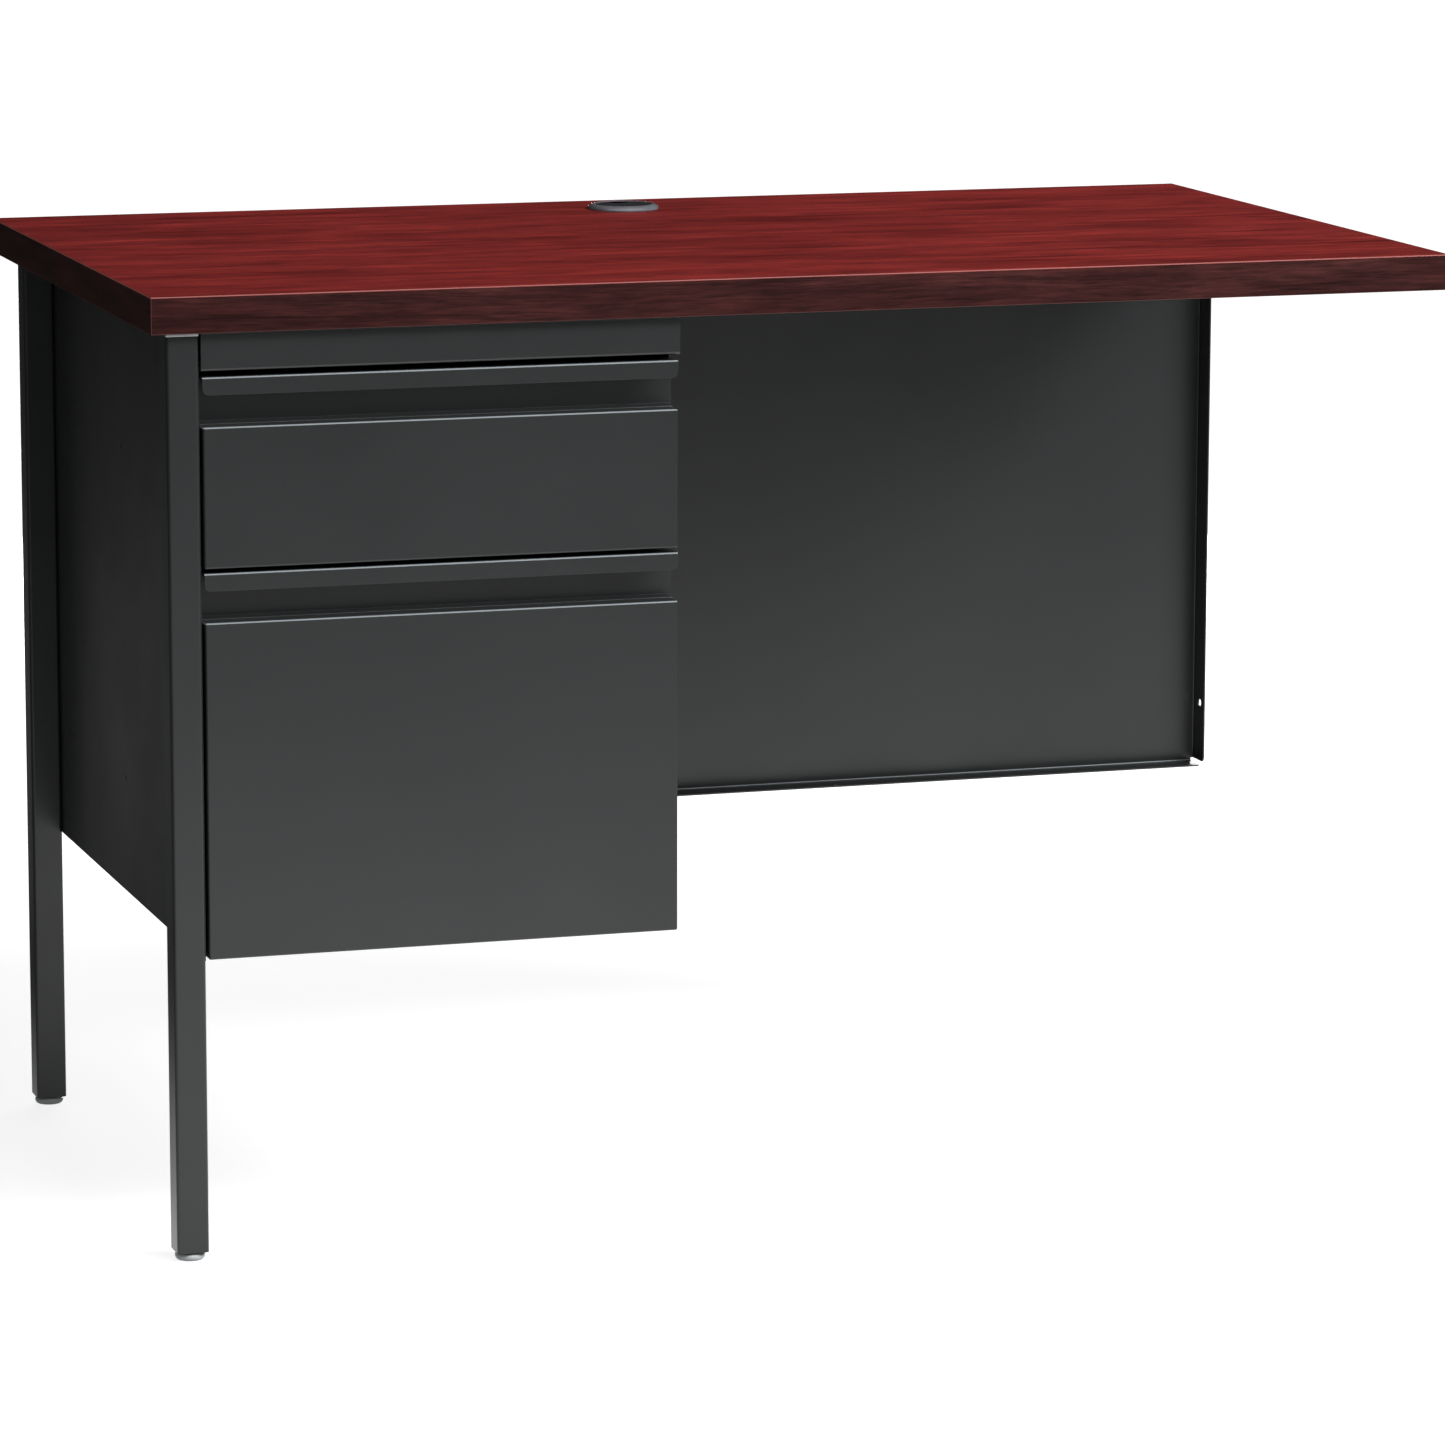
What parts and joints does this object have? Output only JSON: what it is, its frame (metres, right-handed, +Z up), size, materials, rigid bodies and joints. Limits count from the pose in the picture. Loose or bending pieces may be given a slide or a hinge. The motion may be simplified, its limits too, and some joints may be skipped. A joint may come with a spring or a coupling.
{
  "type": "desk return",
  "caption": "Left-hand return of a teacher's desk: laminate worktop on square steel legs, a hanging pedestal with a box drawer and a file drawer, and a folded steel modesty panel.",
  "frame": {"origin": "on the floor, under the middle of the bounding box", "axes": "+X to the right, towards the main desk; +Y to the back; +Z up; the drawers face -Y"},
  "size_m": [1.0794, 0.6096, 0.7594],
  "materials": {
    "mahogany_laminate": "satin",
    "edge_laminate": "satin",
    "particleboard": "matte",
    "backing_sheet": "matte",
    "liner_plastic": "satin",
    "cap_plastic": "satin",
    "charcoal_paint": "satin",
    "zinc_steel": "satin",
    "insert_plastic": "matte",
    "foot_nylon": "satin",
    "bumper_rubber": "matte"
  },
  "bodies": {
    "desk_frame": {"worktop_core": "particleboard", "worktop_laminate": "mahogany_laminate", "worktop_backer": "backing_sheet", "edge_band_front": "edge_laminate", "edge_band_rear": "edge_laminate", "edge_band_left": "edge_laminate", "edge_band_right": "edge_laminate", "grommet_liner": "liner_plastic", "front_left_leg": "charcoal_paint", "front_leg_plate": "zinc_steel", "front_leg_insert": "insert_plastic", "rear_left_leg": "charcoal_paint", "rear_leg_plate": "zinc_steel", "rear_leg_insert": "insert_plastic", "pedestal_left_side": "charcoal_paint", "pedestal_right_side": "charcoal_paint", "pedestal_back": "charcoal_paint", "pedestal_bottom_pan": "charcoal_paint", "top_rail": "charcoal_paint", "mid_rail": "charcoal_paint", "rear_stretcher": "charcoal_paint", "box_left_cabinet_member": "zinc_steel", "box_right_cabinet_member": "zinc_steel", "file_left_cabinet_member": "zinc_steel", "file_right_cabinet_member": "zinc_steel", "modesty_panel": "charcoal_paint", "worktop_screws": "zinc_steel", "cabinet_slide_screws": "zinc_steel", "modesty_panel_screws": "zinc_steel", "drawer_bumpers": "bumper_rubber"},
    "box_drawer": {"box_drawer_face": "charcoal_paint", "box_drawer_inner_front": "charcoal_paint", "box_drawer_tray": "charcoal_paint", "box_drawer_back": "charcoal_paint", "box_left_drawer_member": "zinc_steel", "box_right_drawer_member": "zinc_steel", "box_drawer_screws": "zinc_steel"},
    "box_middle_members": {"box_left_middle_member": "zinc_steel", "box_right_middle_member": "zinc_steel"},
    "file_drawer": {"file_drawer_face": "charcoal_paint", "file_drawer_inner_front": "charcoal_paint", "file_drawer_tray": "charcoal_paint", "file_drawer_back": "charcoal_paint", "file_hang_rail_left": "zinc_steel", "file_hang_rail_right": "zinc_steel", "file_left_drawer_member": "zinc_steel", "file_right_drawer_member": "zinc_steel", "file_drawer_screws": "zinc_steel"},
    "file_middle_members": {"file_left_middle_member": "zinc_steel", "file_right_middle_member": "zinc_steel"},
    "grommet_cap": {"grommet_cap": "cap_plastic"},
    "front_glide": {"front_glide_foot": "foot_nylon", "front_glide_stud": "zinc_steel"},
    "rear_glide": {"rear_glide_foot": "foot_nylon", "rear_glide_stud": "zinc_steel"}
  },
  "joints": [
    {"name": "box_drawer_slide", "type": "slide", "parent": "desk_frame", "child": "box_drawer", "axis": [0, -1, 0], "range_m": [0, 0.4]},
    {"name": "box_middle_slide", "type": "slide", "parent": "desk_frame", "child": "box_middle_members", "axis": [0, -1, 0], "range_m": [0, 0.2]},
    {"name": "file_drawer_slide", "type": "slide", "parent": "desk_frame", "child": "file_drawer", "axis": [0, -1, 0], "range_m": [0, 0.48]},
    {"name": "file_middle_slide", "type": "slide", "parent": "desk_frame", "child": "file_middle_members", "axis": [0, -1, 0], "range_m": [0, 0.24]},
    {"name": "grommet_cap_lift", "type": "slide", "parent": "desk_frame", "child": "grommet_cap", "axis": [0, 0, 1], "range_m": [0, 0.03]},
    {"name": "front_glide_screw", "type": "slide", "parent": "desk_frame", "child": "front_glide", "axis": [0, 0, -1], "range_m": [-0.0006, 0.0125]},
    {"name": "rear_glide_screw", "type": "slide", "parent": "desk_frame", "child": "rear_glide", "axis": [0, 0, -1], "range_m": [-0.0006, 0.0125]}
  ],
  "couplings": [
    {"joint": "box_middle_slide", "follows": "box_drawer_slide", "ratio": 0.5},
    {"joint": "file_middle_slide", "follows": "file_drawer_slide", "ratio": 0.5}
  ]
}
